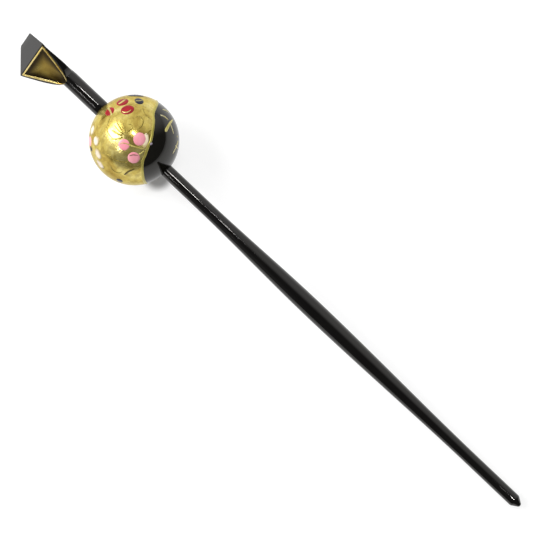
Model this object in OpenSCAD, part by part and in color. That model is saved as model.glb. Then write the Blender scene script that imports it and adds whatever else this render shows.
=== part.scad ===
// Kanzashi hairpin: a long round pin, a drilled ball and a short bar with a flared head.
// The hairpin lies on its ball and its tip. +X points to the tip, +Z is up, sizes are in millimetres.

/* [Ball] */
// Diameter of the ball
ball_d = 23; // [18:0.5:28]
// Diameter of the small flat under the ball, which keeps it from rolling
foot_d = 2; // [1.6:0.2:4]

/* [Pin] */
// Distance from the ball's centre to the end of the tip
pin_reach = 135; // [125:1:160]
// Diameter of the straight neck that enters the ball
neck_d = 3.5; // [2.8:0.05:3.9]
// Distance from the ball's centre to the end of the straight neck
neck_reach = 24; // [18:1:40]
// Diameter at the fullest place
swell_d = 4.95; // [4.2:0.05:6]
// Distance from the ball's centre to the fullest place
swell_reach = 63; // [50:1:80]
// Distance from the ball's centre to the end of the swelling
taper_reach = 118; // [95:1:122]
// Diameter of the straight end of the pin
tip_d = 3.3; // [2.6:0.05:3.8]
// Length of the blunt point
point_len = 1.9; // [1.4:0.1:3]
// Radius of the round end of the point
nose_r = 0.75; // [0.4:0.05:1.1]

/* [Head] */
// Diameter of the bar between the ball and the flare
bar_d = 4.35; // [3.9:0.05:5]
// Distance from the ball's centre to the pointed start of the gilded face
flare_reach = 22.6; // [19:0.2:26]
// Distance from the ball's centre to the ridge across the head
ridge_reach = 32.6; // [30:0.2:35]
// Distance from the ball's centre to the end of the head
head_reach = 37.8; // [36:0.2:44]
// Length of the ridge, across the head
ridge_w = 13.2; // [9:0.2:15]
// Height of the ridge above the bar's centre line
ridge_h = 4.8; // [4:0.1:6.5]
// Length of the edge at the end of the head
end_w = 5.4; // [4.4:0.1:7]
// Height of that edge above the bar's centre line
end_h = 0.9; // [0.2:0.1:1.4]
// Diameter of the head's round back at its end
back_d = 2.6; // [2:0.1:3.6]
// How far the head's sides swell out between the face and the round back
side_swell = 0.8; // [0:0.1:1]
// Turn of the head's gilded side away from straight up
head_roll = 48; // [0:1:90]

/* [Fit] */
// Diameter of the tenon that each stick has inside the ball
tenon_d = 2.6; // [2:0.1:3]
// Gap all round between a tenon and the ball's bore
bore_gap = 0.05; // [0.03:0.01:0.15]
// Gap between a stick's hollowed shoulder and the ball
seat_gap = 0.05; // [0.03:0.01:0.15]
// Gap between the ends of the two sticks inside the ball
meet_gap = 0.4; // [0.2:0.1:1]

/* [Hidden] */

black = "#141313";
gold = "#b9973f";

ball_r = ball_d / 2;
bar_r = bar_d / 2;
tip_r = tip_d / 2;
bore_d = tenon_d + 2 * bore_gap;

// The ball stands on its flat, and the axis slopes so far that the pin's last full section touches the floor
foot_h = sqrt(pow(ball_r, 2) - pow(foot_d / 2, 2));
point_start = pin_reach - point_len;
slope = asin(foot_h / norm([point_start, tip_r])) - atan(tip_r / point_start);

// The origin is the middle of the box's floor, so the ball lies off it towards the head
tip_x = (pin_reach - nose_r) * cos(slope) + nose_r;
head_x = head_reach * cos(slope) + back_d / 2 * sin(slope);
ball_x = (head_x - tip_x) / 2;

swell_steps = 10;
petal_steps = 10;
// The gilded face opens quickly behind its rounded point, then more slowly to the ridge
petal_power = 0.6;
round_fn = 96;
// Edge of the narrow flat along the top of the head's rod, and the lowest start of its round back, in degrees
flat_edge = 78;
side_end = 45;
top_steps = 3;
side_steps = 10;
back_steps = 11;
// Greatest swell of a side, as a share of that side's length
side_share = 0.2;

// A curve that leaves one end level and reaches the other level
function ease(t) = t * t * (3 - 2 * t);
function blend(a, b, t) = a + (b - a) * ease(t);

// Radius of the pin along the stretch that swells from the neck, and along the one that thins to the tip
rise = [
    for (i = [0 : swell_steps])
        let (t = i / swell_steps)
        [blend(neck_d, swell_d, t) / 2, neck_reach + (swell_reach - neck_reach) * t]
];
fall = [
    for (i = [1 : swell_steps])
        let (t = i / swell_steps)
        [blend(swell_d, tip_d, t) / 2, swell_reach + (taper_reach - swell_reach) * t]
];
nose = [
    for (a = [0 : 15 : 90])
        [nose_r * cos(a), pin_reach - nose_r + nose_r * sin(a)]
];

// Where a tenon or a shoulder of this radius meets the ball, as a distance from the ball's centre
function seat(r) = sqrt(pow(ball_r + seat_gap, 2) - r * r);

// Half width and height of the narrow flat along the top of a round rod
function flat_w(r) = r * cos(flat_edge);
function flat_h(r) = r * sin(flat_edge);

// Radius of the round back, which gets slimmer from the flare to the end of the head
function back_r(reach) = bar_r + (back_d / 2 - bar_r) * (reach - flare_reach) / (head_reach - flare_reach);

// Swell of the sides along the flare, which is fullest before the middle and dies out at the ridge
function swell_at(t) = side_swell * 1.6 * sqrt(t) * (1 - t);

// Sections of the head: distance from the ball's centre, half width and height of the top edge, back radius
// and swell of the sides
tenon_r = tenon_d / 2;
root_rows = [
    for (s = [[meet_gap / 2, tenon_r], [seat(tenon_r), tenon_r], [seat(bar_r), bar_r]])
        [s[0], flat_w(s[1]), flat_h(s[1]), s[1], 0]
];
flare_rows = [
    for (i = [0 : petal_steps])
        let (t = pow(i / petal_steps, 1.8), reach = flare_reach + (ridge_reach - flare_reach) * t)
        [
            reach,
            flat_w(bar_r) + (ridge_w / 2 - flat_w(bar_r)) * pow(t, petal_power),
            flat_h(bar_r) + (ridge_h - flat_h(bar_r)) * t,
            back_r(reach),
            swell_at(t)
        ]
];
end_row = [head_reach, end_w / 2, end_h, back_d / 2, 0];

// One section as points across and up: the top edge, the sides down to the round bar, and the bar's back
function half_ring(w, h, r, swell) =
    let (
        corner = atan2(h, w),
        tangent = corner - acos(min(1, r / norm([w, h]))),
        join = min(side_end, tangent),
        side = r * tan(corner - tangent),
        bulge = min(swell, side_share * side) * [cos(tangent), sin(tangent)]
    )
    concat(
        [for (i = [0 : top_steps]) [w * i / top_steps, h]],
        [
            for (i = [1 : side_steps])
                let (
                    a = corner + (join - corner) * i / side_steps,
                    g = a > tangent ? r * tan(a - tangent) / side : 0
                )
                (a > tangent ? r / cos(a - tangent) : r) * [cos(a), sin(a)] + bulge * 6.75 * g * g * (1 - g)
        ],
        [
            for (i = [1 : back_steps])
                let (a = join - (join + 90) * i / back_steps)
                r * [cos(a), sin(a)]
        ]
    );
function ring(row) =
    let (half = half_ring(row[1], row[2], row[3], row[4]), last = len(half) - 1)
    concat(
        [for (p = half) [row[0], p.x, p.y]],
        [for (i = [last - 1 : -1 : 1]) [row[0], -half[i].x, half[i].y]]
    );

// Everything is drawn on an axis through the ball's centre and then laid on the floor
module lay() {
    translate([ball_x, 0, foot_h])
        rotate([0, slope, 0])
            children();
}

module pin() {
    profile = concat(
        [[0, meet_gap / 2], [tenon_r, meet_gap / 2], [tenon_r, seat(tenon_r)], [neck_d / 2, seat(neck_d / 2)]],
        rise,
        fall,
        [[tip_r, point_start]],
        nose
    );
    color(black)
    lay()
        rotate([0, 90, 0])
            rotate_extrude($fn = round_fn)
                polygon(profile);
}

module ball() {
    color(gold)
    difference() {
        lay()
            difference() {
                sphere(r = ball_r, $fn = round_fn);
                rotate([0, 90, 0])
                    cylinder(h = 2 * ball_d, d = bore_d, center = true, $fn = round_fn);
            }
        translate([ball_x - ball_r, -ball_r, -ball_r])
            cube([ball_d, ball_d, ball_r]);
    }
}

// A closed skin through sections that all have the same number of points, with a fan over each end
module loft(rows) {
    rings = [for (row = rows) ring(row)];
    n = len(rings[0]);
    last = len(rings) - 1;
    first_mid = len(rings) * n;
    mids = [for (k = [0, last]) [rows[k][0], 0, -rows[k][3] / 2]];
    sides = [
        for (k = [0 : last - 1], i = [0 : n - 1])
            let (a = k * n + i, b = k * n + (i + 1) % n)
            each [[a, a + n, b], [b, a + n, b + n]]
    ];
    ends = [
        for (i = [0 : n - 1])
            let (a = i, b = (i + 1) % n)
            each [[first_mid, a, b], [first_mid + 1, last * n + b, last * n + a]]
    ];
    polyhedron(concat([for (r = rings) each r], mids), concat(sides, ends));
}

module head() {
    color(black)
    lay()
        rotate([head_roll, 0, 0])
            mirror([1, 0, 0])
                loft(concat(root_rows, flare_rows, [end_row]));
}

head();
ball();
pin();
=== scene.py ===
import math
import bmesh
import bpy
from mathutils import Matrix, Vector


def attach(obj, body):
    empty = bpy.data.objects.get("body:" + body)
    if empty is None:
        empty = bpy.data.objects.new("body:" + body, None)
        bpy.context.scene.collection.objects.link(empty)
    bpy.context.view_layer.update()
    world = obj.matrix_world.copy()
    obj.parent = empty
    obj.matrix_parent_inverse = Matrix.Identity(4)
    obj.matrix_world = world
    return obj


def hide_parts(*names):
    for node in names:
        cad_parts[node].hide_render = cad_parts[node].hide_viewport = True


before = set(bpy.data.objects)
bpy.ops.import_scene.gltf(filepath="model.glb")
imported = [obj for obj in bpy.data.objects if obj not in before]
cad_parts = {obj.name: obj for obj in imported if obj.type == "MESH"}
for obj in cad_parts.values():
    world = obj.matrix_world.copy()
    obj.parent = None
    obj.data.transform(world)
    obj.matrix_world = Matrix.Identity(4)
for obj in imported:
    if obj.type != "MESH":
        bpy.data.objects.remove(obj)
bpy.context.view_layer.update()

# How the hairpin lies, in millimetres: the same sizes as the solids have
lying = {
    "ballRadius": 11.5,
    "footWidth": 2.0,
    "pinReach": 135.0,
    "pointLength": 1.9,
    "noseRadius": 0.75,
    "tipRadius": 1.65,
    "headReach": 37.8,
    "barRadius": 2.175,
    "backRadius": 1.3,
    "boreRadius": 1.35,
    "tenonRadius": 1.3,
    "seatGap": 0.05,
    "meetGap": 0.4,
}
ballRadius = lying["ballRadius"]
footHeight = math.sqrt(ballRadius ** 2 - (lying["footWidth"] / 2) ** 2)
pointStart = lying["pinReach"] - lying["pointLength"]
slope = (math.asin(footHeight / math.hypot(pointStart, lying["tipRadius"]))
         - math.atan(lying["tipRadius"] / pointStart))
tipX = (lying["pinReach"] - lying["noseRadius"]) * math.cos(slope) + lying["noseRadius"]
headX = lying["headReach"] * math.cos(slope) + lying["backRadius"] * math.sin(slope)
ballCentre = Vector(((headX - tipX) / 2, 0, footHeight))
toMetres = Matrix.Scale(0.001, 4)
# along the stick's axis, which slopes down to the tip
onAxis = toMetres @ Matrix.Translation(ballCentre) @ Matrix.Rotation(slope, 4, "Y")
# round the ball's centre, upright
onBall = toMetres @ Matrix.Translation(ballCentre)

# The camera stands where the photograph was taken from, above the hairpin
viewpoint = {
    "azimuth": 43.32,
    "elevation": 81.9,
    "distance": 560.05,
    "target": (-2.705, 0.624, 0),
    "fieldOfView": 14,
}
azimuth = math.radians(viewpoint["azimuth"])
elevation = math.radians(viewpoint["elevation"])
look = Vector((-math.sin(azimuth) * math.cos(elevation),
               math.cos(azimuth) * math.cos(elevation),
               -math.sin(elevation)))
right = Vector((math.cos(azimuth), math.sin(azimuth), 0))
up = right.cross(look)
eye = Vector(viewpoint["target"]) - look * viewpoint["distance"]

# The ball's decoration is charted on a disc that faces the eye: across, up, and front or back
toEye = (eye - ballCentre).normalized()
chartRight = (right - toEye * right.dot(toEye)).normalized()
chartUp = toEye.cross(chartRight)


def chartPoint(across, upward, side=1):
    depth = math.sqrt(max(0.0, ballRadius ** 2 - across ** 2 - upward ** 2))
    return (chartRight * across + chartUp * upward + toEye * side * depth).normalized()


def fromHex(code):
    # an sRGB colour as the shader's linear one
    parts = [int(code[i:i + 2], 16) / 255 for i in (1, 3, 5)]
    return tuple(p / 12.92 if p <= 0.04045 else ((p + 0.055) / 1.055) ** 2.4 for p in parts) + (1.0,)


def addNode(tree, kind, settings={}, inputs={}, stops=None):
    node = tree.nodes.new(kind)
    for name, value in settings.items():
        setattr(node, name, value)
    for name, value in inputs.items():
        if isinstance(value, bpy.types.NodeSocket):
            tree.links.new(value, node.inputs[name])
        else:
            node.inputs[name].default_value = value
    if stops:
        ramp = node.color_ramp
        while len(ramp.elements) < len(stops):
            ramp.elements.new(0.5)
        for element, (place, colour) in zip(ramp.elements, stops):
            element.position = place
            element.color = colour
    return node


smoothly = {"interpolation_type": "SMOOTHSTEP"}


def newMaterial(name):
    # an empty material, its tree, and the place on the object that its patterns follow
    material = bpy.data.materials.new(name)
    material.use_nodes = True
    tree = material.node_tree
    tree.nodes.clear()
    return material, tree, addNode(tree, "ShaderNodeTexCoord").outputs["Object"]


def finishMaterial(material, surface):
    addNode(material.node_tree, "ShaderNodeOutputMaterial", {}, {"Surface": surface.outputs[0]})
    return material


def grey(value):
    return (value, value, value, 1.0)


def scaleFor(size):
    # the Scale that gives a pattern of this size, in millimetres
    return 1000 / size


def makeBlackLacquer(name, tones, waveLength, waveHeight, index):
    # Black lacquer over moulded resin, rubbed by hand: a deep black, with a hard gloss that wavers a little
    material, tree, place = newMaterial(name)
    # the waves are longer along the stick than across it
    stretched = addNode(tree, "ShaderNodeMapping", {}, {"Vector": place, "Scale": (0.45, 1.0, 1.0)})
    waves = addNode(tree, "ShaderNodeTexNoise", {}, {
        "Vector": stretched.outputs[0], "Scale": scaleFor(waveLength), "Detail": 1.5, "Roughness": 0.4})
    smears = addNode(tree, "ShaderNodeTexNoise", {}, {
        "Vector": place, "Scale": scaleFor(6.0), "Detail": 4.0, "Roughness": 0.6})
    gloss = addNode(tree, "ShaderNodeMapRange", {}, {
        "Value": smears.outputs["Fac"], "From Min": 0.35, "From Max": 0.7, "To Min": 0.025, "To Max": 0.06})
    bump = addNode(tree, "ShaderNodeBump", {}, {
        "Height": waves.outputs["Fac"], "Distance": waveHeight / 1000, "Strength": 1.0})
    tint = addNode(tree, "ShaderNodeValToRGB", {}, {"Fac": smears.outputs["Fac"]}, stops=[
        (0.35, fromHex(tones[0])), (0.75, fromHex(tones[1]))])
    surface = addNode(tree, "ShaderNodeBsdfPrincipled", {}, {
        "Base Color": tint.outputs["Color"],
        "Roughness": gloss.outputs[0],
        "IOR": index,
        "Specular Tint": (1.0, 0.98, 0.94, 1.0),
        "Normal": bump.outputs[0],
    })
    return finishMaterial(material, surface)


def makeGoldGround(name, tones, grain, grainHeight, waveHeight, roughness, fadeTone=None, mottle=0.0):
    # Gold powder laid in lacquer and rubbed: a soft metal gloss, cloudy where the powder lies thicker
    material, tree, place = newMaterial(name)
    clouds = addNode(tree, "ShaderNodeTexNoise", {}, {
        "Vector": place, "Scale": scaleFor(5.5), "Detail": 5.0, "Roughness": 0.62, "Distortion": 0.6})
    colour = addNode(tree, "ShaderNodeValToRGB", {}, {"Fac": clouds.outputs["Fac"]}, stops=[
        (0.3, fromHex(tones[0])), (0.5, fromHex(tones[1])), (0.72, fromHex(tones[2]))])
    if mottle:
        # small darker blotches, where the powder was rubbed through
        blotches = addNode(tree, "ShaderNodeTexNoise", {}, {
            "Vector": place, "Scale": scaleFor(1.5), "Detail": 3.0, "Roughness": 0.6, "Distortion": 0.4})
        worn = addNode(tree, "ShaderNodeMapRange", {}, {
            "Value": blotches.outputs["Fac"], "From Min": 0.46, "From Max": 0.7,
            "To Min": 0.0, "To Max": mottle})
        colour = addNode(tree, "ShaderNodeMixRGB", {}, {
            "Fac": worn.outputs[0], "Color1": colour.outputs[0], "Color2": fromHex("#7d6222")})
    if fadeTone:
        # on the head, painted shade: the gold darkens to the dark tone where face_depth is low, towards the
        # rim and the ends of the dished face
        depth = addNode(tree, "ShaderNodeAttribute", {"attribute_name": "face_depth"})
        thin = addNode(tree, "ShaderNodeMapRange", smoothly, {
            "Value": depth.outputs["Fac"], "From Min": 0.1, "From Max": 1.0, "To Min": 0.0, "To Max": 1.0})
        colour = addNode(tree, "ShaderNodeMixRGB", {}, {
            "Fac": thin.outputs[0], "Color1": fromHex(fadeTone), "Color2": colour.outputs["Color"]})
    rubbed = addNode(tree, "ShaderNodeMapRange", {}, {
        "Value": clouds.outputs["Fac"], "From Min": 0.3, "From Max": 0.7,
        "To Min": roughness[0], "To Max": roughness[1]})
    # powder grains, drawn coarser than real ones so that they show
    powder = addNode(tree, "ShaderNodeTexNoise", {}, {
        "Vector": place, "Scale": scaleFor(grain), "Detail": 2.0, "Roughness": 0.7})
    waves = addNode(tree, "ShaderNodeTexNoise", {}, {
        "Vector": place, "Scale": scaleFor(2.6), "Detail": 2.0, "Roughness": 0.5})
    grainBump = addNode(tree, "ShaderNodeBump", {}, {
        "Height": powder.outputs["Fac"], "Distance": grainHeight / 1000, "Strength": 1.0})
    bump = addNode(tree, "ShaderNodeBump", {}, {
        "Height": waves.outputs["Fac"], "Distance": waveHeight / 1000, "Strength": 1.0,
        "Normal": grainBump.outputs[0]})
    surface = addNode(tree, "ShaderNodeBsdfPrincipled", {}, {
        "Base Color": colour.outputs[0],
        "Metallic": 0.78,
        "Roughness": rubbed.outputs[0],
        "Specular Tint": (0.72, 0.66, 0.45, 1.0),
        "Normal": bump.outputs[0],
        "Coat Weight": 0.12,
        "Coat Roughness": 0.06,
    })
    return finishMaterial(material, surface)


def makePaint(name, deep, light, roughness=0.22, metallic=0.0, fadeTone=None):
    # Coloured lacquer dabbed on with a brush: even and dense, or so thin at the rim that the ground shows
    material, tree, place = newMaterial(name)
    dabs = addNode(tree, "ShaderNodeTexNoise", {}, {
        "Vector": place, "Scale": scaleFor(2.2), "Detail": 3.0, "Roughness": 0.55})
    colour = addNode(tree, "ShaderNodeValToRGB", {}, {"Fac": dabs.outputs["Fac"]}, stops=[
        (0.32, fromHex(deep)), (0.68, fromHex(light))])
    if fadeTone:
        inside = addNode(tree, "ShaderNodeAttribute", {"attribute_name": "dab_depth"})
        ragged = addNode(tree, "ShaderNodeMath", {"operation": "ADD"}, {
            0: inside.outputs["Fac"], 1: dabs.outputs["Fac"]})
        cover = addNode(tree, "ShaderNodeMapRange", smoothly, {
            "Value": ragged.outputs[0], "From Min": 0.45, "From Max": 1.1, "To Min": 0.0, "To Max": 1.0})
        colour = addNode(tree, "ShaderNodeMixRGB", {}, {
            "Fac": cover.outputs[0], "Color1": fromHex(fadeTone), "Color2": colour.outputs["Color"]})
    bump = addNode(tree, "ShaderNodeBump", {}, {
        "Height": dabs.outputs["Fac"], "Distance": 0.00002, "Strength": 0.6})
    surface = addNode(tree, "ShaderNodeBsdfPrincipled", {}, {
        "Base Color": colour.outputs[0],
        "Metallic": metallic,
        "Roughness": roughness,
        "Specular IOR Level": 0.3,
        "Normal": bump.outputs[0],
    })
    return finishMaterial(material, surface)


# Each lacquer: its two tones, then the length and height of its waves in millimetres, and its IOR
blackLacquer = makeBlackLacquer("lacquer_black_rubbed", ("#060505", "#0b0a09"), 3.2, 0.01, 1.52)
ballLacquer = makeBlackLacquer("lacquer_black_ball", ("#11100c", "#181712"), 3.0, 0.01, 1.46)
# Each gold: its three tones, its grains' width and height and its waves' height in millimetres, and its
# least and greatest roughness
goldGround = makeGoldGround("gold_powder_ground", ("#a08232", "#cfba60", "#eadc92"),
                            0.2, 0.004, 0.05, (0.12, 0.27), mottle=0.5)
# painted shade: the head's gold is darkened towards its rim and ends by its dark tone
gildedFace = makeGoldGround("gold_powder_head_painted_shade", ("#80662a", "#9c843c", "#b39d52"),
                            0.3, 0.004, 0.008, (0.2, 0.28), fadeTone="#2c210b")
# the rim's gold is lighter than the face's, partly as a painted highlight on the raised rim
rimGoldHighlit = makeGoldGround("gold_powder_rim_painted_highlight", ("#d9b04a", "#ead07c", "#f6e6ae"),
                           0.35, 0.001, 0.001, (0.24, 0.32))
# Each paint: its deep and its light tone, then its roughness and how metallic it is
paleGold = makePaint("gold_line_pale", "#b5a957", "#d6cc83", 0.3, 0.55)
edgeGold = makePaint("gold_line_edge", "#a3983f", "#c4b864", 0.3, 0.55)
vineGold = makePaint("gold_line_engraved", "#7c6c2c", "#9c8a42", 0.3, 0.7)
oliveLine = makePaint("lacquer_olive", "#4a4015", "#6a5b22", 0.25)
redPaint = makePaint("lacquer_red", "#7a0510", "#9e0a1c", 0.4)
pinkPaint = makePaint("lacquer_pink", "#e48a99", "#f2a6b0", 0.3)
whitePaint = makePaint("lacquer_white_thin", "#d3c3ae", "#e6dac8", 0.4, fadeTone="#98863f")
navyPaint = makePaint("lacquer_navy", "#0d0d1e", "#1b1b31")
# painted highlight: cream gold for a dab that stands in for a bright reflection on the ball's gold
paintedHighlightGold = makePaint("gold_painted_highlight", "#f4e2b4", "#fff4d6", 0.3, 0.1, fadeTone="#b7a04c")
needleGold = makePaint("gold_line_bright", "#d8cc8e", "#f1e9ba", 0.3, 0.2)
lilacPaint = makePaint("lacquer_lilac", "#8f8394", "#aa9fae")
print("materials: done")


def finishPiece(bm, name, place, materials, sharpAngle):
    bmesh.ops.recalc_face_normals(bm, faces=bm.faces)
    bm.transform(place)
    for face in bm.faces:
        face.smooth = True
    mesh = bpy.data.meshes.new(name)
    bm.to_mesh(mesh)
    bm.free()
    mesh.set_sharp_from_angle(angle=math.radians(sharpAngle))
    piece = bpy.data.objects.new(name, mesh)
    bpy.context.scene.collection.objects.link(piece)
    for material in materials:
        mesh.materials.append(material)
    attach(piece, "root")
    return piece


def ease(t):
    return t * t * (3 - 2 * t)


def blend(a, b, t):
    return a + (b - a) * ease(t)


# The pin: a turned prong with a straight neck, a swelling and a blunt point
pin = {
    "neckRadius": 1.75,
    "neckReach": 24.0,
    "swellRadius": 2.475,
    "swellReach": 63.0,
    "taperReach": 118.0,
    "shoulderChamfer": (0.04, 0.03),     # along the pin and across it
    "pointEdge": ((-0.5, 0.0), (-0.1, 0.01), (0.15, 0.12)),     # along from the point's start, and drop
    "noseTurn": 20,     # where the round nose takes over from the cone, in degrees
    "noseSteps": 8,
    "steps": 28,
    "around": 96,
}


def makePin():
    seat = ballRadius + lying["seatGap"]
    neck = pin["neckRadius"]
    tenon = lying["tenonRadius"]
    outline = [(lying["meetGap"] / 2, 0), (lying["meetGap"] / 2, tenon)]
    outline.append((math.sqrt(seat ** 2 - tenon ** 2), tenon))
    start = math.sqrt(seat ** 2 - neck ** 2)
    along, across = pin["shoulderChamfer"]
    outline += [(start, neck - across), (start + along, neck), (start + 1, neck)]
    steps = pin["steps"]
    for i in range(steps + 1):
        t = i / steps
        reach = pin["neckReach"] + (pin["swellReach"] - pin["neckReach"]) * t
        outline.append((reach, blend(neck, pin["swellRadius"], t)))
    for i in range(1, steps + 1):
        t = i / steps
        reach = pin["swellReach"] + (pin["taperReach"] - pin["swellReach"]) * t
        outline.append((reach, blend(pin["swellRadius"], lying["tipRadius"], t)))
    # the cone of the point starts softly and ends in a round nose
    for along, drop in pin["pointEdge"]:
        outline.append((pointStart + along, lying["tipRadius"] - drop))
    nose = lying["noseRadius"]
    noseMiddle = lying["pinReach"] - nose
    firstTurn = pin["noseTurn"]
    for i in range(pin["noseSteps"] + 1):
        turn = math.radians(firstTurn + (90 - firstTurn) * i / pin["noseSteps"])
        outline.append((noseMiddle + nose * math.sin(turn), nose * math.cos(turn)))
    bm = bmesh.new()
    corners = [bm.verts.new((x, 0, r)) for x, r in outline]
    edges = [bm.edges.new(pair) for pair in zip(corners, corners[1:])]
    bmesh.ops.spin(bm, geom=corners + edges, cent=(0, 0, 0), axis=(1, 0, 0), dvec=(0, 0, 0),
                   angle=math.tau, steps=pin["around"], use_merge=True)
    bmesh.ops.remove_doubles(bm, verts=bm.verts, dist=0.0005)
    piece = finishPiece(bm, "lacquered_pin", onAxis, [blackLacquer], 30)
    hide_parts("pin")


makePin()
print("pin: done")

# The head: a short bar that flares to a ridge, with a rimmed gilded face towards the ball and a black
# one beyond. Reaches are from the ball's centre, and the rest is across or above the bar's centre line.
head = {
    "barReaches": (13, 16, 19, 21.5),
    "flatEdge": 78,     # edge of the narrow flat along the top of the bar, in degrees
    "flareReach": 22.6,
    "ridgeReach": 32.6,
    "ridgeHalf": 6.6,
    "ridgeHeight": 4.8,
    "endHalf": 2.7,
    "endHeight": 0.9,
    "roll": 48.0,
    "wallHeight": 2.75,     # at the pointed start, from where it gets lower towards the ridge
    "wallPower": 1.3,
    "leastWall": 0.15,
    "wallLean": 12.0,
    "shoulderRound": 0.45,
    "petalPower": 0.6,
    "rimWidth": 0.62,
    "fullRimHalf": 3.5,     # the rim has its full width where the face is this wide or wider
    "ridgeRimWidth": 0.4,
    "rimHeight": 0.15,
    "rimInset": 0.26,
    "sideInset": 0.38,
    "ridgeRound": 0.3,
    "cornerRound": (0.14, 0.32),
    "edgeRound": 0.1,
    "dish": 0.3,
    "shoulderShare": 0.985,     # how much of the bar's size its softened shoulder keeps
    "paintedShadeLengths": (6.5, 3.0),     # over these lengths the painted shade darkens the gold at the start and at the ridge
    "farSteps": (0.06, 0.25, 0.5, 0.75, 0.93),     # sections of the black face, as shares of its length
    "endGrowth": 0.02,     # the last section is so much larger than the end, and is then rounded
    "endRounding": ((0.1, 0.99), (0.02, 0.965), (0, 0.93)),     # back from the end, and share of the size
    "endMiddle": -0.2,
    "flareSteps": 64,
    "faceCount": 12,
    "rimCount": 8,
    "sideCounts": (18, 24),
    "arcSteps": 8,
    "backSteps": 24,
    "thinnest": 0.05,     # a lower wall than this is left out
}


def backRadiusAt(reach):
    # the round back gets slimmer from the flare to the end
    share = max(0.0, reach - head["flareReach"]) / (lying["headReach"] - head["flareReach"])
    return lying["barRadius"] + (lying["backRadius"] - lying["barRadius"]) * share


def roundCorner(corner, back, onward, radius, limit):
    # the points of an arc that rounds a corner between two directions which lead away from it
    half = back.angle(onward) / 2
    trim = min(radius / math.tan(half), limit)
    middle = corner + (back + onward).normalized() * trim / math.cos(half)
    first = corner + back * trim - middle
    sweep = first.angle_signed(corner + onward * trim - middle)
    arc = []
    for i in range(head["arcSteps"] + 1):
        turned = first.copy()
        turned.rotate(Matrix.Rotation(-sweep * i / head["arcSteps"], 2))
        arc.append(middle + turned)
    return arc


def alongPath(path, bend, counts):
    # points along a path: so many up to its bend and so many beyond it, closer together near both
    reach = [0.0]
    for near, far in zip(path, path[1:]):
        reach.append(reach[-1] + (far - near).length)
    split = max(reach[bend], 0.1 * reach[-1])
    targets = [split * (i / counts[0] + ease(i / counts[0])) / 2 for i in range(counts[0] + 1)]
    targets += [split + (reach[-1] - split) * (i / counts[1]) ** 1.3 for i in range(1, counts[1] + 1)]
    points = []
    k = 0
    for target in targets:
        while k < len(path) - 2 and reach[k + 1] < target:
            k += 1
        share = (target - reach[k]) / max(1e-9, reach[k + 1] - reach[k])
        points.append(path[k].lerp(path[k + 1], min(1.0, share)))
    return points


def headSection(half, height, radius, crown=0.0, rounding=0.0, wall=0.0, rim=0.0, along=0.0):
    # half of one section: the top and its rim, the rounded corner, the low wall, the underside, the back
    corner = Vector((half, height))
    lean = math.radians(head["wallLean"])
    down = Vector((math.sin(lean), -math.cos(lean)))
    # the wall ends where it meets the round bar
    drop = -corner.dot(down)
    left = drop ** 2 - corner.length_squared + radius ** 2
    if left > 0:
        wall = min(wall, max(0.0, drop - math.sqrt(left)))
    shoulder = corner + down * wall
    startAngle = math.atan2(shoulder.y, shoulder.x) - math.acos(min(1.0, radius / shoulder.length))
    tangent = Vector((math.cos(startAngle), math.sin(startAngle))) * radius
    inward = Vector((-half, 2 * crown)).normalized()
    # no rounding takes more than a share of what lies beside its corner
    if wall > head["thinnest"]:
        path = roundCorner(corner, inward, down, rounding, min(0.45 * wall, 0.6 * half))
    else:
        path = [corner]
    under = tangent - shoulder
    bend = 0
    if wall > head["thinnest"] and under.length > 2 * head["thinnest"]:
        path += roundCorner(shoulder, -down, under.normalized(), head["shoulderRound"],
                            min(0.45 * wall, 0.4 * under.length))
        bend = len(path) - 1 - head["arcSteps"] // 2
    elif wall > head["thinnest"]:
        path.append(shoulder)
        bend = len(path) - 1
    for i in range(head["backSteps"] + 1):
        a = startAngle - (startAngle + math.pi / 2) * i / head["backSteps"]
        path.append(Vector((math.cos(a), math.sin(a))) * radius)
    path[-1].x = 0.0
    small = min(1.0, half / head["fullRimHalf"])
    rimOuter = path[0].x - head["sideInset"] * small
    rimInner = rimOuter - head["rimWidth"] * small
    points = []
    for i in range(head["faceCount"] + head["rimCount"] + 1):
        across = (i - head["faceCount"]) / head["rimCount"]
        y = rimInner + (rimOuter - rimInner) * across if across >= 0 else rimInner * i / head["faceCount"]
        raised = along if across <= 0.5 else along * math.sin(math.pi * across)
        if across > 0:
            raised = max(raised, rim * math.sin(math.pi * across))
        bulge = crown * (1 - (y / half) ** 2)
        points.append(Vector((y, height + bulge + head["rimHeight"] * small * raised)))
    return points + alongPath(path, bend, head["sideCounts"])


flatHalf = lying["barRadius"] * math.cos(math.radians(head["flatEdge"]))
flatHeight = lying["barRadius"] * math.sin(math.radians(head["flatEdge"]))
ridge = Vector((head["ridgeReach"], head["ridgeHeight"]))
headEnd = Vector((lying["headReach"], head["endHeight"]))
# the directions of the gilded face and of the black one, along the head and up
climb = (ridge - Vector((head["flareReach"], flatHeight))).normalized()
fall = (headEnd - ridge).normalized()


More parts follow.
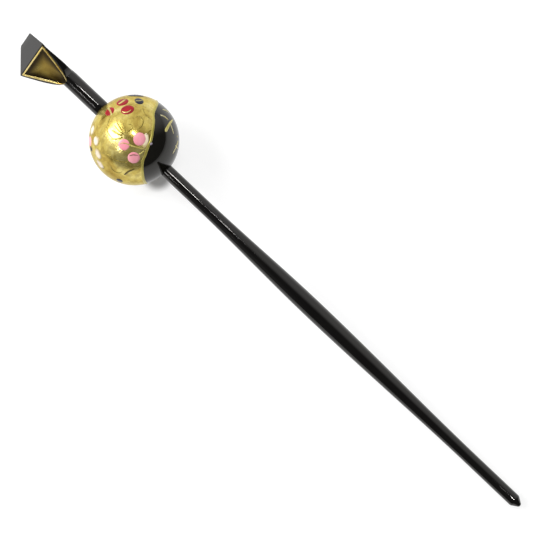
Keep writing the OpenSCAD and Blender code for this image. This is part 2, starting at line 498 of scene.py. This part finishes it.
def headStations():
    # the sections along the head, each with its reach
    radius = lying["barRadius"]
    crown = radius - flatHeight
    seat = math.sqrt((ballRadius + lying["seatGap"]) ** 2 - radius ** 2)
    stations = [(reach, headSection(flatHalf, flatHeight, radius, crown))
                for reach in (seat, seat + 0.05) + head["barReaches"]]
    length = head["ridgeReach"] - head["flareReach"]
    rise = head["ridgeHeight"] - flatHeight
    inside = (-climb).angle(fall)
    trim = head["ridgeRound"] / math.tan(inside / 2)

    def halfAt(reach):
        if reach <= head["ridgeReach"]:
            t = max(0.0, (reach - head["flareReach"]) / length)
            return flatHalf + (head["ridgeHalf"] - flatHalf) * t ** head["petalPower"]
        t = (reach - head["ridgeReach"]) / (lying["headReach"] - head["ridgeReach"])
        return head["ridgeHalf"] + (head["endHalf"] - head["ridgeHalf"]) * t

    def faceStation(reach, along):
        # the dish, the rounding and the wall change along the way from the pointed start to the ridge
        u = (reach - head["flareReach"]) / length
        belly = 4 * u * (1 - u)
        sink = head["dish"] * min(1.0, 1.3 * math.sqrt(belly)) * ease(min(1.0, 2.2 * (1 - u)))
        top = crown * (1 - ease(min(1.0, 4 * u))) - sink * ease(min(1.0, 3 * u))
        least, most = head["cornerRound"]
        rounding = min(least + (most - least) * belly, 0.3 * halfAt(reach))
        wall = max(head["leastWall"], head["wallHeight"] * (1 - u) ** head["wallPower"])
        section = headSection(halfAt(reach), flatHeight + rise * u, backRadiusAt(reach), top, rounding,
                              wall, ease(min(1.0, 12 * u)), along)
        stations.append((reach, section))

    # the rim runs round the whole face, so near the ridge the full width of the top rises
    rimEnd = head["rimInset"] + head["ridgeRimWidth"]
    faceEnd = head["ridgeReach"] - (rimEnd + 0.02) * climb.x
    for i in range(head["flareSteps"] + 1):
        t = (i / head["flareSteps"]) ** 1.5
        faceStation(head["flareReach"] + (faceEnd - head["flareReach"]) * t, 0.0)
    steps = head["rimCount"]
    for i in range(1, steps + 1):
        back = rimEnd - head["ridgeRimWidth"] * i / steps
        faceStation(head["ridgeReach"] - back * climb.x, math.sin(math.pi * i / steps) if i < steps else 0.0)
    faceStation(head["ridgeReach"] - trim * climb.x, 0.0)
    middle = ridge + (fall - climb).normalized() * trim / math.cos(inside / 2)
    first = ridge - climb * trim - middle
    sweep = first.angle_signed(ridge + fall * trim - middle)
    least = head["cornerRound"][0]
    steps = head["arcSteps"]
    farPoints = []
    for i in range(1, steps + 1):
        turned = first.copy()
        turned.rotate(Matrix.Rotation(-sweep * i / steps, 2))
        farPoints.append((middle + turned, least + (head["edgeRound"] - least) * i / steps))
    for t in head["farSteps"]:
        farPoints.append(((ridge + fall * trim).lerp(headEnd, t), head["edgeRound"]))
    for point, rounding in farPoints:
        stations.append((point.x, headSection(halfAt(point.x), point.y, backRadiusAt(point.x), 0,
                                              rounding, head["leastWall"])))
    return stations


def loopEdges(bm, ring):
    return [bm.edges.get((ring[i], ring[(i + 1) % len(ring)])) for i in range(len(ring))]


def growRing(bm, ring, points):
    # extrudes a ring of vertices and sets the new ones to the given points
    made = bmesh.ops.extrude_edge_only(bm, edges=loopEdges(bm, ring))["geom"]
    fresh = {v for v in made if isinstance(v, bmesh.types.BMVert)}
    grown = []
    for vert in ring:
        grown.append(next(e.other_vert(vert) for e in vert.link_edges if e.other_vert(vert) in fresh))
    for vert, point in zip(grown, points):
        vert.co = point
    return grown


def makeHead():
    stations = headStations()
    total = 2 * (len(stations[0][1]) - 1)

    def ringPoints(reach, half, shrink=1.0):
        full = [Vector((-reach, p.x, p.y)) for p in half]
        full += [Vector((-reach, -p.x, p.y)) for p in reversed(half[1:-1])]
        if shrink != 1.0:
            centre = Vector((-reach, 0, head["endMiddle"]))
            full = [centre + (p - centre) * shrink for p in full]
        return full

    bm = bmesh.new()
    depth = bm.verts.layers.float.new("face_depth")
    ring = bmesh.ops.create_circle(bm, cap_ends=True, segments=total, radius=1)["verts"]
    rodReach, rod = stations[0]
    tenonShare = lying["tenonRadius"] / lying["barRadius"]
    tenonEnd = math.sqrt((ballRadius + lying["seatGap"]) ** 2 - lying["tenonRadius"] ** 2)
    for vert, point in zip(ring, ringPoints(lying["meetGap"] / 2, [p * tenonShare for p in rod])):
        vert.co = point
    ring = growRing(bm, ring, ringPoints(tenonEnd, [p * tenonShare for p in rod]))
    ring = growRing(bm, ring, ringPoints(rodReach, [p * head["shoulderShare"] for p in rod]))
    rings = []
    for reach, section in stations[1:]:
        ring = growRing(bm, ring, ringPoints(reach, section))
        rings.append((reach, ring))
    last = headSection(head["endHalf"] + head["endGrowth"], head["endHeight"] + head["endGrowth"],
                       lying["backRadius"], 0, head["edgeRound"], head["leastWall"])
    for back, shrink in head["endRounding"]:
        ring = growRing(bm, ring, ringPoints(lying["headReach"] - back, last, shrink))
    bmesh.ops.edgeloop_fill(bm, edges=loopEdges(bm, ring))
    # gold lies on the dished face, darkened by painted shade towards its edges, and, brighter, on the rim
    # round it, lighter there partly as a painted highlight
    ridgeBand = head["ridgeReach"] - (head["rimInset"] + head["ridgeRimWidth"]) * climb.x
    rimEnd = head["ridgeReach"] - head["rimInset"] * climb.x
    faceCount, rimCount = head["faceCount"], head["rimCount"]
    # face_depth carries the painted shade: it falls towards the rim, the pointed start and the ridge
    fadeIn, fadeOut = head["paintedShadeLengths"]
    for (nearReach, near), (farReach, far) in zip(rings, rings[1:]):
        if nearReach < head["flareReach"] - 0.01 or farReach > rimEnd + 0.01:
            continue
        fade = min(1.0, (nearReach - head["flareReach"]) / fadeIn, max(0.0, ridgeBand - nearReach) / fadeOut)
        for i in range(faceCount + rimCount):
            for k in (i, total - 1 - i):
                face = bm.faces.get((near[k], near[(k + 1) % total], far[(k + 1) % total], far[k]))
                face.material_index = 1 if i < faceCount and nearReach < ridgeBand - 0.01 else 2
            for k in (i, (total - i) % total):
                near[k][depth] = max(0.0, min(fade, 1.2 * (1 - i / faceCount)))
    bm.transform(Matrix.Rotation(math.radians(head["roll"]), 4, "X"))
    piece = finishPiece(bm, "flared_head", onAxis, [blackLacquer, gildedFace, rimGoldHighlit], 60)
    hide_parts("head")


makeHead()
print("head: done")

# The ball: a drilled bead, black, with a gold ground over the side towards the head
ball = {
    "around": 240,
    "rings": 120,
    "edgeRing": 73,     # the mesh's ring along the gold's edge
    "edgeSamples": 400,
    "boreSides": 64,
    "goldHeight": 0.05,
    "goldPole": (-11.4, 1.2),     # the middle of the gold, charted across and up
    "sharpAngle": 30,
}
# The gold's edge, charted across, up, and front or back of the ball
goldEdge = [
    (5.8, 9.3, 1), (4.85, 7.0, 1), (4.85, 4.6, 1), (4.55, 2.2, 1), (4.1, 0.0, 1), (3.4, -1.7, 1),
    (2.65, -3.8, 1), (2.0, -5.6, 1), (2.0, -7.9, 1), (2.45, -10.4, 1),
    (3.6, -9.9, -1), (4.7, -7.6, -1), (4.3, -4.9, -1), (5.4, -2.0, -1), (5.0, 0.8, -1),
    (3.6, 3.4, -1), (3.2, 6.2, -1), (4.2, 8.6, -1), (5.4, 10.0, -1),
]


def splinePoint(points, t, closed):
    # a Catmull-Rom curve through directions
    count = len(points)
    i = int(math.floor(t))
    f = t - i
    if closed:
        four = [points[(i + k) % count] for k in (-1, 0, 1, 2)]
    else:
        four = [points[min(count - 1, max(0, i + k))] for k in (-1, 0, 1, 2)]
    a, b, c, d = four
    return (0.5 * (2 * b + (c - a) * f + (2 * a - 5 * b + 4 * c - d) * f ** 2
                   + (3 * b - a - 3 * c + d) * f ** 3)).normalized()


goldPole = chartPoint(*ball["goldPole"])
poleSide = goldPole.orthogonal().normalized()
poleUp = goldPole.cross(poleSide)
edgeDirections = [chartPoint(*p) for p in goldEdge]


def poleAngles(direction):
    around = math.atan2(direction.dot(poleUp), direction.dot(poleSide)) % math.tau
    return around, math.acos(max(-1, min(1, direction.dot(goldPole))))


samples = ball["edgeSamples"]
edgeSamples = sorted(poleAngles(splinePoint(edgeDirections, len(goldEdge) * k / samples, True))
                     for k in range(samples))


def edgeAngle(around):
    # how far the gold reaches from its pole, at this turn round the pole
    around %= math.tau
    before = edgeSamples[-1][0] - math.tau, edgeSamples[-1][1]
    for sample in edgeSamples + [(edgeSamples[0][0] + math.tau, edgeSamples[0][1])]:
        if sample[0] >= around:
            share = (around - before[0]) / max(1e-9, sample[0] - before[0])
            return before[1] + (sample[1] - before[1]) * share
        before = sample
    return before[1]


def standOnFoot(bm):
    # what would reach below the floor is flattened into the foot
    for vert in bm.verts:
        vert.co.z = max(vert.co.z, -footHeight)


def makeBall():
    bm = bmesh.new()
    bmesh.ops.create_uvsphere(bm, u_segments=ball["around"], v_segments=ball["rings"], radius=1)
    edgeShare = math.pi * ball["edgeRing"] / ball["rings"]
    reachCache = {}
    inGold = set()
    for vert in bm.verts:
        tilt = math.acos(max(-1, min(1, vert.co.z)))
        around = math.atan2(vert.co.y, vert.co.x)
        key = round(around, 4)
        if key not in reachCache:
            reachCache[key] = edgeAngle(around)
        reach = reachCache[key]
        if tilt <= edgeShare + 0.001:
            tilt = tilt * reach / edgeShare
            radius = ballRadius + ball["goldHeight"]
            inGold.add(vert)
        else:
            tilt = math.pi - (math.pi - tilt) * (math.pi - reach) / (math.pi - edgeShare)
            radius = ballRadius
        vert.co = radius * (goldPole * math.cos(tilt)
                            + (poleSide * math.cos(around) + poleUp * math.sin(around)) * math.sin(tilt))
    for face in bm.faces:
        face.material_index = 1 if all(v in inGold for v in face.verts) else 0
    standOnFoot(bm)
    piece = finishPiece(bm, "painted_ball", onBall, [ballLacquer, goldGround],
                        ball["sharpAngle"])
    drillBall(piece)
    piece.data.set_sharp_from_angle(angle=math.radians(ball["sharpAngle"]))
    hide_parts("ball")


def drillBall(piece):
    # the hole that both sticks are glued into
    drill = bmesh.new()
    bmesh.ops.create_cone(drill, cap_ends=True, segments=ball["boreSides"], radius1=lying["boreRadius"],
                          radius2=lying["boreRadius"], depth=4 * ballRadius,
                          matrix=Matrix.Rotation(math.pi / 2, 4, "Y"))
    drill.transform(onAxis)
    drillMesh = bpy.data.meshes.new("drill")
    drill.to_mesh(drillMesh)
    drill.free()
    drillPiece = bpy.data.objects.new("drill", drillMesh)
    bpy.context.scene.collection.objects.link(drillPiece)
    cut = piece.modifiers.new("bore", "BOOLEAN")
    cut.operation = "DIFFERENCE"
    cut.solver = "EXACT"
    cut.object = drillPiece
    drilled = bpy.data.meshes.new_from_object(piece.evaluated_get(bpy.context.evaluated_depsgraph_get()))
    piece.modifiers.clear()
    piece.data = drilled
    bpy.data.objects.remove(drillPiece)


makeBall()
print("ball: done")


def wrap(verts, centre, turn, lift):
    # lays a flat motif on the ball: its x and y become arcs, and its z the height over the lacquer
    first = chartRight * math.cos(turn) + chartUp * math.sin(turn)
    first = (first - centre * first.dot(centre)).normalized()
    second = centre.cross(first)
    for vert in verts:
        x, y, z = vert.co
        reach = math.hypot(x, y)
        direction = centre.copy()
        if reach > 1e-6:
            bend = reach / ballRadius
            direction = centre * math.cos(bend) + (first * x + second * y) / reach * math.sin(bend)
        vert.co = direction * (ballRadius + lift + z)


# Dabs of paint, in millimetres: each is its place on the chart (across, up, front or back), then its
# length, its width and its turn in degrees
dabs = {
    "height": 0.14,
    "flatness": 7,
    "patchHeight": 0.06,
    "patchFlatness": 2,
    "sink": 0.02,     # how far each motif reaches into the ground
    "corners": 40,
    "insets": (0.06, 0.08, 0.14, 0.3),     # rings inside a dab's rim, as shares of its radius
    "sharpAngle": 60,
    "petals_red": [
        (-6.15, 7.2, 1, 3.1, 2.7, 130), (-2.95, 9.55, 1, 3.2, 3.4, 40), (-1.7, 7.6, 1, 3.5, 3.1, 15),
        (-3.6, -6.4, -1, 3.2, 2.8, 10), (-6.6, -4.8, -1, 3.0, 2.8, 70), (-6.0, -1.6, -1, 3.1, 2.7, 130),
        (-2.8, -1.0, -1, 3.2, 2.8, 20), (-1.4, -4.0, -1, 3.0, 2.8, 90),
    ],
    "petals_pink": [
        (1.32, 0.25, 1, 3.35, 3.2, 70), (-2.6, -1.14, 1, 2.95, 2.9, 0), (-0.15, -4.43, 1, 3.1, 3.1, 0),
        (-11.15, -0.3, 1, 2.5, 2.5, 90),
        (-3.6, 4.2, -1, 3.0, 2.9, 0), (-6.3, 6.0, -1, 2.9, 2.8, 0), (-1.6, 6.8, -1, 3.0, 2.8, 0),
    ],
    "petals_white": [
        (-9.5, -0.2, 1, 2.6, 2.7, 95), (-9.1, -3.45, 1, 3.0, 2.7, 140), (-8.6, -6.1, 1, 3.1, 2.5, 125),
        (-10.5, 2.45, 1, 2.7, 2.5, 80), (-10.9, -1.9, -1, 2.9, 2.6, 90),
    ],
    # painted highlight: a cream dab on the gold, fading into it at its rim, in place of a bright reflection
    "patch_painted_highlight": [(2.75, -0.1, 1, 4.6, 2.0, 80)],
    "dots_navy": [
        (1.25, 9.8, 1, 3.1, 2.3, 90), (-3.75, -10.2, 1, 1.8, 2.2, 10), (-10.9, -2.2, 1, 1.5, 1.4, 0),
        (0.4, 11.25, 1, 4.4, 2.0, 0), (-4.2, -3.6, -1, 1.3, 1.3, 0),
    ],
    "tip_lilac": [(4.15, -0.95, 1, 0.9, 0.6, 20)],
}


def addDab(bm, place, height, flatness):
    # one dab of paint: a low dome, flat on top with a rounded rim where flatness is high
    across, upward, side, length, width, turn = place
    depth = bm.verts.layers.float["dab_depth"]
    before = set(bm.verts)
    bmesh.ops.create_circle(bm, cap_ends=True, segments=dabs["corners"], radius=1)
    cap = next(f for f in bm.faces if all(v not in before for v in f.verts))
    for thickness in dabs["insets"]:
        bmesh.ops.inset_region(bm, faces=[cap], thickness=thickness, use_boundary=True, use_even_offset=True)
    bmesh.ops.poke(bm, faces=[cap])
    verts = [v for v in bm.verts if v not in before]
    for vert in verts:
        out = min(1.0, math.hypot(vert.co.x, vert.co.y))
        vert[depth] = 1 - out
        vert.co.z = height * (1 - out ** flatness) - dabs["sink"]
        vert.co.x *= length / 2
        vert.co.y *= width / 2
    wrap(verts, chartPoint(across, upward, side), math.radians(turn), ball["goldHeight"])


def makeDabs(name, material, height=dabs["height"], flatness=dabs["flatness"]):
    bm = bmesh.new()
    bm.verts.layers.float.new("dab_depth")
    for place in dabs[name]:
        addDab(bm, place, height, flatness)
    standOnFoot(bm)
    finishPiece(bm, name, onBall, [material], dabs["sharpAngle"])


makeDabs("petals_red", redPaint)
makeDabs("petals_pink", pinkPaint)
makeDabs("petals_white", whitePaint)
makeDabs("patch_painted_highlight", paintedHighlightGold, dabs["patchHeight"], dabs["patchFlatness"])
makeDabs("dots_navy", navyPaint)
makeDabs("tip_lilac", lilacPaint)

# Brushed lines, in millimetres: each is its width, its height and its points on the chart
strokes = {
    "sink": 0.02,
    "rows": 6,     # of faces across a line
    "steps": 10,     # along a line, between two of its points
    "narrowing": 0.35,     # the greatest share of its length
    "edgeSteps": 480,
    "edgeLift": 0.02,
    "nearby": 0.01,     # a line's direction is taken so far ahead and behind, as a share of a span
    "sharpAngle": 60,
    "slits_gold": [
        (0.5, 0.2, [(-3.1, 7.1, 1), (-2.1, 6.85, 1), (-1.3, 7.05, 1), (-0.75, 7.6, 1)]),
        (1.2, 0.2, [(-3.95, 8.9, 1), (-3.0, 9.5, 1), (-2.1, 10.15, 1)]),
        (0.8, 0.2, [(-6.6, 8.0, 1), (-5.95, 7.25, 1), (-5.6, 6.2, 1)]),
        (0.45, 0.2, [(0.3, 9.7, 1), (1.25, 9.75, 1), (2.2, 9.95, 1)]),
        (0.38, 0.22, [(-3.6, -1.25, 1), (-3.1, -0.75, 1), (-2.1, -0.85, 1), (-1.3, -1.15, 1), (0.4, -1.8, 1),
                      (2.2, -2.2, 1), (3.3, -2.35, 1)]),
        (0.34, 0.12, [(1.1, -3.6, 1), (1.8, -3.2, 1), (2.5, -2.6, 1)]),
        (0.5, 0.2, [(-4.4, -6.9, -1), (-3.5, -6.4, -1), (-2.6, -6.3, -1)]),
        (0.5, 0.2, [(-7.1, -3.9, -1), (-6.5, -4.8, -1), (-6.1, -5.8, -1)]),
        (0.5, 0.2, [(-3.6, -0.4, -1), (-2.8, -1.0, -1), (-2.0, -1.7, -1)]),
        (0.38, 0.22, [(-4.3, 4.7, -1), (-3.5, 4.3, -1), (-1.6, 4.9, -1), (0.6, 4.3, -1), (2.2, 4.6, -1)]),
    ],
    "vines_gold": [
        (0.3, 0.07, [(2.1, 8.1, 1), (2.5, 6.8, 1), (3.2, 5.9, 1), (4.1, 5.3, 1)]),
        (0.3, 0.07, [(-1.7, 4.0, 1), (-0.7, 3.7, 1), (-0.45, 2.9, 1), (-1.4, 2.2, 1), (-2.4, 1.5, 1)]),
        (0.5, 0.12, [(-2.6, 1.5, 1), (-3.4, 2.8, 1), (-4.3, 4.4, 1)]),
        (0.5, 0.12, [(-2.9, 1.1, 1), (-4.0, 1.5, 1), (-5.6, 2.5, 1)]),
        (0.44, 0.1, [(-2.9, 0.8, 1), (-4.1, 0.3, 1), (-6.0, 0.3, 1)]),
        (0.36, 0.1, [(-2.7, 1.3, 1), (-3.7, 2.2, 1), (-5.0, 3.7, 1)]),
        (0.4, 0.1, [(-2.2, 1.7, 1), (-2.5, 3.0, 1), (-3.1, 4.6, 1)]),
        (0.36, 0.07, [(-5.9, 5.7, 1), (-6.5, 4.3, 1), (-6.7, 2.6, 1), (-6.3, 1.4, 1), (-5.2, 0.3, 1)]),
        (0.36, 0.07, [(-8.3, -3.1, 1), (-6.4, -3.8, 1), (-4.6, -5.0, 1), (-2.5, -5.5, 1), (-1.4, -5.2, 1)]),
        (0.34, 0.07, [(-2.2, -6.3, 1), (-0.4, -6.7, 1), (1.3, -6.5, 1), (2.2, -5.6, 1)]),
        (0.32, 0.07, [(-6.0, -6.3, 1), (-5.4, -7.5, 1), (-4.1, -8.2, 1), (-3.0, -7.9, 1)]),
        (0.32, 0.07, [(0.6, 2.6, 1), (1.8, 3.4, 1), (2.2, 4.8, 1), (1.3, 5.9, 1), (0.2, 5.6, 1)]),
        (0.32, 0.07, [(3.0, 1.2, 1), (3.7, 2.2, 1), (4.4, 2.4, 1)]),
        (0.34, 0.07, [(-8.0, 3.0, -1), (-6.4, 2.2, -1), (-4.6, 2.6, -1), (-2.9, 1.9, -1), (-1.2, 2.6, -1),
                      (1.4, 1.6, -1)]),
        (0.34, 0.07, [(-9.0, 1.0, -1), (-7.8, -0.3, -1), (-7.9, -2.4, -1), (-8.8, -3.8, -1)]),
        (0.34, 0.07, [(1.6, -7.6, -1), (0.8, -6.2, -1), (1.3, -4.6, -1), (2.8, -3.9, -1)]),
        (0.34, 0.07, [(-1.9, 9.4, -1), (0.2, 8.6, -1), (1.6, 9.3, -1)]),
    ],
    "lines_olive": [
        (0.4, 0.2, [(-1.3, -3.9, 1), (-0.25, -3.65, 1), (0.95, -3.8, 1)]),
        (0.62, 0.08, [(-2.6, -8.75, 1), (-1.4, -7.8, 1), (0.1, -7.2, 1)]),
    ],
    "needles_gold": [
        (0.42, 0.16, [(6.5, 6.3, 1), (7.6, 5.9, 1), (8.6, 5.0, 1)]),
        (0.36, 0.16, [(8.85, 4.4, 1), (9.4, 3.2, 1), (9.9, 1.5, 1)]),
        (0.34, 0.16, [(7.1, 7.75, 1), (7.9, 7.5, 1), (8.7, 7.0, 1)]),
        (0.44, 0.16, [(11.1, -0.1, 1), (10.6, -1.6, 1), (9.6, -3.5, 1)]),
        (0.34, 0.16, [(10.3, -1.4, 1), (10.7, -1.75, 1), (10.95, -2.2, 1)]),
        (0.39, 0.16, [(10.8, 1.1, 1), (10.9, 0.7, 1)]),
        (0.42, 0.16, [(8.7, 1.4, -1), (7.7, -0.2, -1), (6.9, -2.2, -1)]),
        (0.42, 0.16, [(8.8, 1.5, -1), (10.0, 0.2, -1), (10.4, -1.5, -1)]),
        (0.42, 0.16, [(7.4, 6.4, -1), (8.6, 5.2, -1), (9.9, 4.4, -1)]),
        (0.42, 0.16, [(7.3, 6.2, -1), (8.0, 4.6, -1), (8.2, 3.0, -1)]),
        (0.36, 0.16, [(6.9, -6.4, -1), (7.9, -5.8, -1), (8.9, -5.6, -1)]),
    ],
    "needles_broad": [
        (0.95, 0.16, [(9.75, 5.2, 1), (8.9, 4.1, 1), (7.75, 2.1, 1)]),
        (0.9, 0.16, [(8.3, -3.6, -1), (9.0, -1.4, -1), (8.6, 1.0, -1)]),
    ],
    "gold_edge_line": [(0.74, 0.16, goldEdge)],
}


def strokeTaper(t, thinStart, thinEnd, rise):
    # a line widens over the share "rise" of its length, narrows again and closes at both ends
    narrowing = min(strokes["narrowing"], 1 - rise)
    taper = min(1.0, thinStart + (1 - thinStart) * math.sqrt(min(1.0, t / rise)))
    taper = min(taper, thinEnd + (1 - thinEnd) * math.sqrt(min(1.0, (1 - t) / narrowing)))
    return taper * min(1.0, 0.05 + 12 * t, 0.05 + 12 * (1 - t))


def addStroke(bm, line, lift, ends, steps):
    # one brushed line: a low ridge along a curve on the ball, which is closed where it has no ends
    width, height, points = line
    directions = [chartPoint(*p) for p in points]
    closed = ends is None
    spans = len(directions) if closed else len(directions) - 1
    nearby = strokes["nearby"]
    before = set(bm.verts)
    bmesh.ops.create_grid(bm, x_segments=steps or strokes["steps"] * spans, y_segments=strokes["rows"],
                          size=0.5)
    verts = [v for v in bm.verts if v not in before]
    for vert in verts:
        t = vert.co.x + 0.5
        s = vert.co.y * 2
        here = splinePoint(directions, min(spans - (0 if closed else 1e-6), t * spans), closed)
        ahead = here
        behind = here
        if closed or t * spans + nearby < spans:
            ahead = splinePoint(directions, t * spans + nearby, closed)
        if closed or t * spans - nearby > 0:
            behind = splinePoint(directions, t * spans - nearby, closed)
        cross = here.cross((ahead - behind).normalized())
        taper = 1.0 if closed else strokeTaper(t, *ends)
        direction = (here + cross * (s * width * taper / 2 / ballRadius)).normalized()
        raised = height * (1 - s * s) * (0.3 + 0.7 * taper) - strokes["sink"]
        vert.co = direction * (ballRadius + lift + raised)
    if closed:
        bmesh.ops.remove_doubles(bm, verts=verts, dist=0.001)


def makeStrokes(name, material, lift, ends=(0.3, 0.3, 0.25), steps=None):
    # "ends" is how wide the lines are at their start and at their end, and the share over which they widen
    bm = bmesh.new()
    for line in strokes[name]:
        addStroke(bm, line, lift, ends, steps)
    standOnFoot(bm)
    finishPiece(bm, name, onBall, [material], strokes["sharpAngle"])


makeStrokes("slits_gold", paleGold, ball["goldHeight"], (0.4, 0.3, 0.25))
makeStrokes("vines_gold", vineGold, ball["goldHeight"])
makeStrokes("lines_olive", oliveLine, ball["goldHeight"])
makeStrokes("needles_gold", needleGold, 0.0, (0.25, 0.5, 0.25))
makeStrokes("needles_broad", paleGold, 0.0, (0.05, 0.5, 0.85))
makeStrokes("gold_edge_line", edgeGold, strokes["edgeLift"], None, strokes["edgeSteps"])
print("decoration: done")

# The floor: a white sheet with a painted glow, brightest round the hairpin and dimmer further out, and
# painted shadow under the ball
floor = {
    "halfWidth": 9,     # in metres, as are the next four
    "drop": 0.00002,
    "middle": (-0.035, 0.01, 0),
    "near": 0.135,
    "far": 0.24,
    "strength": 0.78,
    "farStrength": 0.5,
    # under the ball the glow is shaded: millimetres across and up from its foot, where the shade is full
    # and where it ends
    "shade": 0.8,
    "shadeSpots": [(0.8, -1.2, 4.5, 8.5), (5.5, -7.2, 2.1, 4.9)],
}


def makePaper():
    # Bleached paper with a painted glow in place of light from behind: an even white with no grain, which
    # shows only soft shade from the lamps, and painted shadow under the ball
    material, tree, place = newMaterial("paper_white_painted_glow")
    reach = addNode(tree, "ShaderNodeVectorMath", {"operation": "DISTANCE"}, {0: place, 1: floor["middle"]})
    glow = addNode(tree, "ShaderNodeMapRange", smoothly, {
        "Value": reach.outputs["Value"], "From Min": floor["near"], "From Max": floor["far"],
        "To Min": floor["strength"], "To Max": floor["farStrength"]})
    foot = Vector((ballCentre.x, ballCentre.y, 0))
    upOnFloor = Vector((up.x, up.y, 0)).normalized()
    for across, upward, full, gone in floor["shadeSpots"]:
        spot = (foot + right * across + upOnFloor * upward) / 1000
        reach = addNode(tree, "ShaderNodeVectorMath", {"operation": "DISTANCE"}, {0: place, 1: spot})
        unshaded = addNode(tree, "ShaderNodeMapRange", smoothly, {
            "Value": reach.outputs["Value"], "From Min": full / 1000, "From Max": gone / 1000,
            "To Min": 1 - floor["shade"], "To Max": 1.0})
        glow = addNode(tree, "ShaderNodeMath", {"operation": "MULTIPLY"}, {
            0: glow.outputs[0], 1: unshaded.outputs[0]})
    surface = addNode(tree, "ShaderNodeBsdfPrincipled", {}, {
        "Base Color": grey(0.28), "Roughness": 0.8, "IOR": 1.3, "Specular IOR Level": 0.2,
        "Emission Color": grey(1.0), "Emission Strength": glow.outputs[0]})
    return finishMaterial(material, surface)


def makeFloor():
    bm = bmesh.new()
    bmesh.ops.create_grid(bm, x_segments=1, y_segments=1, size=floor["halfWidth"])
    bmesh.ops.translate(bm, verts=bm.verts, vec=(0, 0, -floor["drop"]))
    mesh = bpy.data.meshes.new("paper_floor")
    bm.to_mesh(mesh)
    bm.free()
    mesh.materials.append(makePaper())
    sheet = bpy.data.objects.new("paper_floor", mesh)
    bpy.context.scene.collection.objects.link(sheet)


makeFloor()


def fromEye(x, y, z):
    # a direction seen from the eye: right, up and towards the eye
    return (right * x + up * y - look * z).normalized()


# Each lamp stands in a direction from the ball, seen from the eye, and faces back along it. Distances and
# sizes, across and along, are in millimetres, and a shift moves a lamp along its own length.
stickAlong = (0.7256, -0.6876)     # how the sticks lie in the picture, right and up
lamps = {
    "key_lamp": {"from": (-0.72, 0.28, 0.635), "distance": 550, "size": (350, 390), "power": 2.9,
                 "along": (-0.3, 1), "shape": "ELLIPSE"},
    "low_lamp": {"from": (-0.56, -0.39, 0.73), "distance": 560, "size": (22, 70), "power": 0.17,
                 "along": stickAlong, "shape": "RECTANGLE"},
    "tip_lamp": {"from": (-0.035, 0.154, 0.987), "distance": 560, "size": (26, 9), "power": 0.13,
                 "along": stickAlong, "shape": "RECTANGLE", "shift": 289},
}
# A slim lamp with gaps, which the sticks mirror as a broken line: start and end of each piece along it
stripLamp = {
    "from": (0.034, 0.227, 0.971),
    "distance": 560,
    "width": 34,
    "brightness": 0.0076,
    "pieces": [(-36.8, -32.6), (-31.4, -26.8), (-23.8, -21.2), (-14, 22), (26, 33), (33.6, 39), (41, 44.6)],
}
for i, (start, end) in enumerate(stripLamp["pieces"]):
    lamps["strip_lamp_%d" % (i + 1)] = {
        "from": stripLamp["from"], "distance": stripLamp["distance"],
        "size": (stripLamp["width"], end - start), "power": stripLamp["brightness"] * (end - start),
        "along": stickAlong, "shape": "RECTANGLE", "shift": (start + end) / 2}


def hangLamp(name, lamp):
    light = bpy.data.lights.new(name, "AREA")
    light.shape = lamp["shape"]
    light.size = lamp["size"][0] / 1000
    light.size_y = lamp["size"][1] / 1000
    light.energy = lamp["power"]
    away = fromEye(*lamp["from"])
    along = right * lamp["along"][0] + up * lamp["along"][1]
    along = (along - away * along.dot(away)).normalized()
    holder = bpy.data.objects.new(name, light)
    bpy.context.scene.collection.objects.link(holder)
    turned = Matrix((along.cross(away), along, away)).transposed()
    place = ballCentre + away * lamp["distance"] + along * lamp.get("shift", 0)
    holder.matrix_world = Matrix.Translation(place / 1000) @ turned.to_4x4()
    holder.visible_camera = False


for name, lamp in lamps.items():
    hangLamp(name, lamp)

# The room: dim, with soft light from the top of the picture and from its left
room = {
    "dim": 0.1,
    "soft": [
        {"from": (0.1, 0.97, 0.25), "start": 0.3, "full": 0.78, "strength": 0.85},
        {"from": (-0.95, 0.12, 0.3), "start": 0.62, "full": 0.95, "strength": 0.85},
    ],
}


def lightRoom():
    world = bpy.data.worlds.new("soft_room")
    bpy.context.scene.world = world
    world.use_nodes = True
    tree = world.node_tree
    place = addNode(tree, "ShaderNodeTexCoord").outputs["Generated"]
    light = room["dim"]
    for soft in room["soft"]:
        facing = addNode(tree, "ShaderNodeVectorMath", {"operation": "DOT_PRODUCT"}, {
            0: place, 1: fromEye(*soft["from"])})
        lobe = addNode(tree, "ShaderNodeMapRange", smoothly, {
            "Value": facing.outputs["Value"], "From Min": soft["start"], "From Max": soft["full"],
            "To Min": 0.0, "To Max": soft["strength"]})
        added = addNode(tree, "ShaderNodeMath", {"operation": "ADD"}, {0: lobe.outputs[0], 1: light})
        light = added.outputs[0]
    background = tree.nodes["Background"]
    background.inputs["Color"].default_value = grey(1.0)
    tree.links.new(light, background.inputs["Strength"])


def placeCamera():
    camera = bpy.data.cameras.new("camera")
    camera.sensor_fit = "HORIZONTAL"
    camera.angle = math.radians(viewpoint["fieldOfView"])
    camera.clip_start = 0.01
    camera.clip_end = 30
    holder = bpy.data.objects.new("camera", camera)
    bpy.context.scene.collection.objects.link(holder)
    turned = Matrix((right, up, -look)).transposed()
    holder.matrix_world = Matrix.Translation(eye / 1000) @ turned.to_4x4()
    bpy.context.scene.camera = holder


lightRoom()
placeCamera()
bpy.context.scene.view_settings.view_transform = "Standard"
print("stage, lamps and camera: done")
